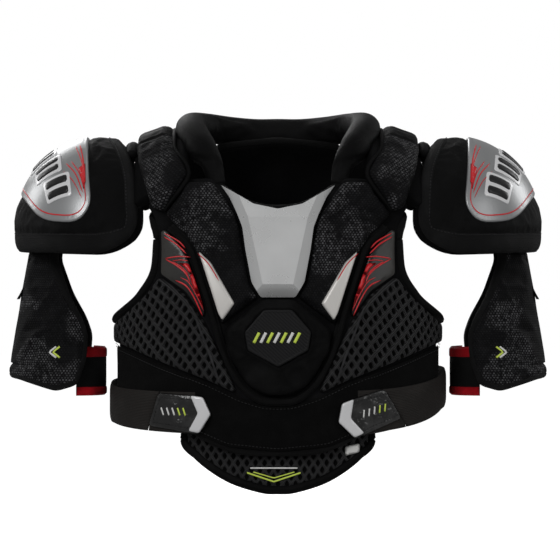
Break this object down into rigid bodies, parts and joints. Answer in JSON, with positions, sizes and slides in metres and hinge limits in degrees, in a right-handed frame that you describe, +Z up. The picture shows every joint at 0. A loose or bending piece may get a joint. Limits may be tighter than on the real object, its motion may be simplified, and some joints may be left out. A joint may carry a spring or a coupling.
{
  "type": "ice hockey shoulder pads",
  "caption": "Padded chest and back vest with a moulded sternum plate, domed shoulder caps, hung bicep guards, elastic waist straps with hook tabs and a belly extension.",
  "frame": {"origin": "mid-plane point level with both shoulder joints, between the spots where the shoulder arches bear on the wearer", "axes": "+Z up, the wearer faces -Y, the wearer's left arm is on +X"},
  "size_m": [0.545, 0.2603, 0.3853],
  "materials": {
    "knit": "brushed knit",
    "foam": "smooth knit over foam",
    "printed": "hexagon print",
    "spacer_mesh": "open spacer mesh",
    "loop": "brushed loop",
    "binding": "woven tape",
    "elastic": "ribbed elastic",
    "gloss_film": "gloss film",
    "silver_plastic": "satin silver",
    "pearl_plastic": "satin",
    "hard_plastic": "moulded"
  },
  "bodies": {
    "vest": {"chest_liner": "knit", "sternum_plate": "silver_plastic", "sternum_pad": "foam", "sternum_crest": "hard_plastic", "loop_panel": "loop", "shield_piping": "binding", "chest_panel_left": "printed", "chest_panel_right": "printed", "accent_left": "pearl_plastic", "accent_right": "pearl_plastic", "graphic_panel_left": "gloss_film", "graphic_panel_right": "gloss_film", "mesh_panel_left": "spacer_mesh", "mesh_panel_right": "spacer_mesh", "armhole_binding_left": "binding", "armhole_binding_right": "binding", "clavicle_pad_left": "printed", "clavicle_pad_right": "printed", "shoulder_arch_left": "foam", "shoulder_arch_right": "foam", "shoulder_top_pad_left": "foam", "shoulder_top_pad_right": "foam", "cap_bridge_left": "foam", "cap_bridge_right": "foam", "collar_left": "foam", "collar_right": "foam"},
    "back": {"back_liner": "knit", "spine_plate": "hard_plastic", "blade_pad_left": "printed", "blade_pad_right": "printed", "back_mesh_left": "spacer_mesh", "back_mesh_right": "spacer_mesh", "waist_strap_left": "elastic", "waist_strap_right": "elastic"},
    "belly_extension": {"extension_pad": "spacer_mesh", "extension_binding": "binding"},
    "tab_left": {"waist_tab_left": "gloss_film", "tab_chevron_left": "silver_plastic"},
    "cap_left": {"cap_cover_left": "foam", "cap_dome_left": "hard_plastic", "cap_liner_left": "knit", "cap_badge_left": "silver_plastic"},
    "hanger_left": {"hanger_strap_left": "elastic"},
    "guard_left": {"bicep_pad_left": "printed", "bicep_liner_left": "knit", "arm_cuff_left": "elastic"},
    "arm_tab_left": {"arm_tab_left": "elastic"},
    "tab_right": {"waist_tab_right": "gloss_film", "tab_chevron_right": "silver_plastic"},
    "cap_right": {"cap_cover_right": "foam", "cap_dome_right": "hard_plastic", "cap_liner_right": "knit", "cap_badge_right": "silver_plastic"},
    "hanger_right": {"hanger_strap_right": "elastic"},
    "guard_right": {"bicep_pad_right": "printed", "bicep_liner_right": "knit", "arm_cuff_right": "elastic"},
    "arm_tab_right": {"arm_tab_right": "elastic"}
  },
  "joints": [
    {"name": "back_swing", "type": "hinge", "parent": "vest", "child": "back", "pos_m": [0, 0.078, 0.002], "axis": [1, 0, 0], "range_deg": [0, 12], "deforming": ["waist_strap_left", "waist_strap_right"]},
    {"name": "extension_slide", "type": "slide", "parent": "vest", "child": "belly_extension", "axis": [0, 0.0549, -0.9985], "range_m": [0, 0.03]},
    {"name": "waist_tab_left_peel", "type": "hinge", "parent": "vest", "child": "tab_left", "pos_m": [0.1127, -0.107, -0.2518], "axis": [-0.4931, -0.2626, 0.8294], "range_deg": [0, 100]},
    {"name": "waist_tab_right_peel", "type": "hinge", "parent": "vest", "child": "tab_right", "pos_m": [-0.122, -0.1023, -0.2575], "axis": [-0.284, 0.2023, -0.9372], "range_deg": [0, 100]},
    {"name": "cap_left_lift", "type": "hinge", "parent": "vest", "child": "cap_left", "pos_m": [0.152, 0, 0.012], "axis": [0, -1, 0], "range_deg": [0, 45]},
    {"name": "guard_left_swing", "type": "hinge", "parent": "cap_left", "child": "hanger_left", "pos_m": [0.202, 0, -0.092], "axis": [-1, 0, 0], "range_deg": [-25, 32]},
    {"name": "guard_left_height", "type": "slide", "parent": "hanger_left", "child": "guard_left", "axis": [0, 0, -1], "range_m": [0, 0.025]},
    {"name": "arm_tab_left_peel", "type": "hinge", "parent": "guard_left", "child": "arm_tab_left", "pos_m": [0.192, 0.055, -0.2145], "axis": [0, 0, 1], "range_deg": [0, 100]},
    {"name": "cap_right_lift", "type": "hinge", "parent": "vest", "child": "cap_right", "pos_m": [-0.152, 0, 0.012], "axis": [0, 1, 0], "range_deg": [0, 45]},
    {"name": "guard_right_swing", "type": "hinge", "parent": "cap_right", "child": "hanger_right", "pos_m": [-0.202, 0, -0.092], "axis": [-1, 0, 0], "range_deg": [-25, 32]},
    {"name": "guard_right_height", "type": "slide", "parent": "hanger_right", "child": "guard_right", "axis": [0, 0, -1], "range_m": [0, 0.025]},
    {"name": "arm_tab_right_peel", "type": "hinge", "parent": "guard_right", "child": "arm_tab_right", "pos_m": [-0.192, 0.055, -0.2145], "axis": [0, 0, -1], "range_deg": [0, 100]}
  ]
}
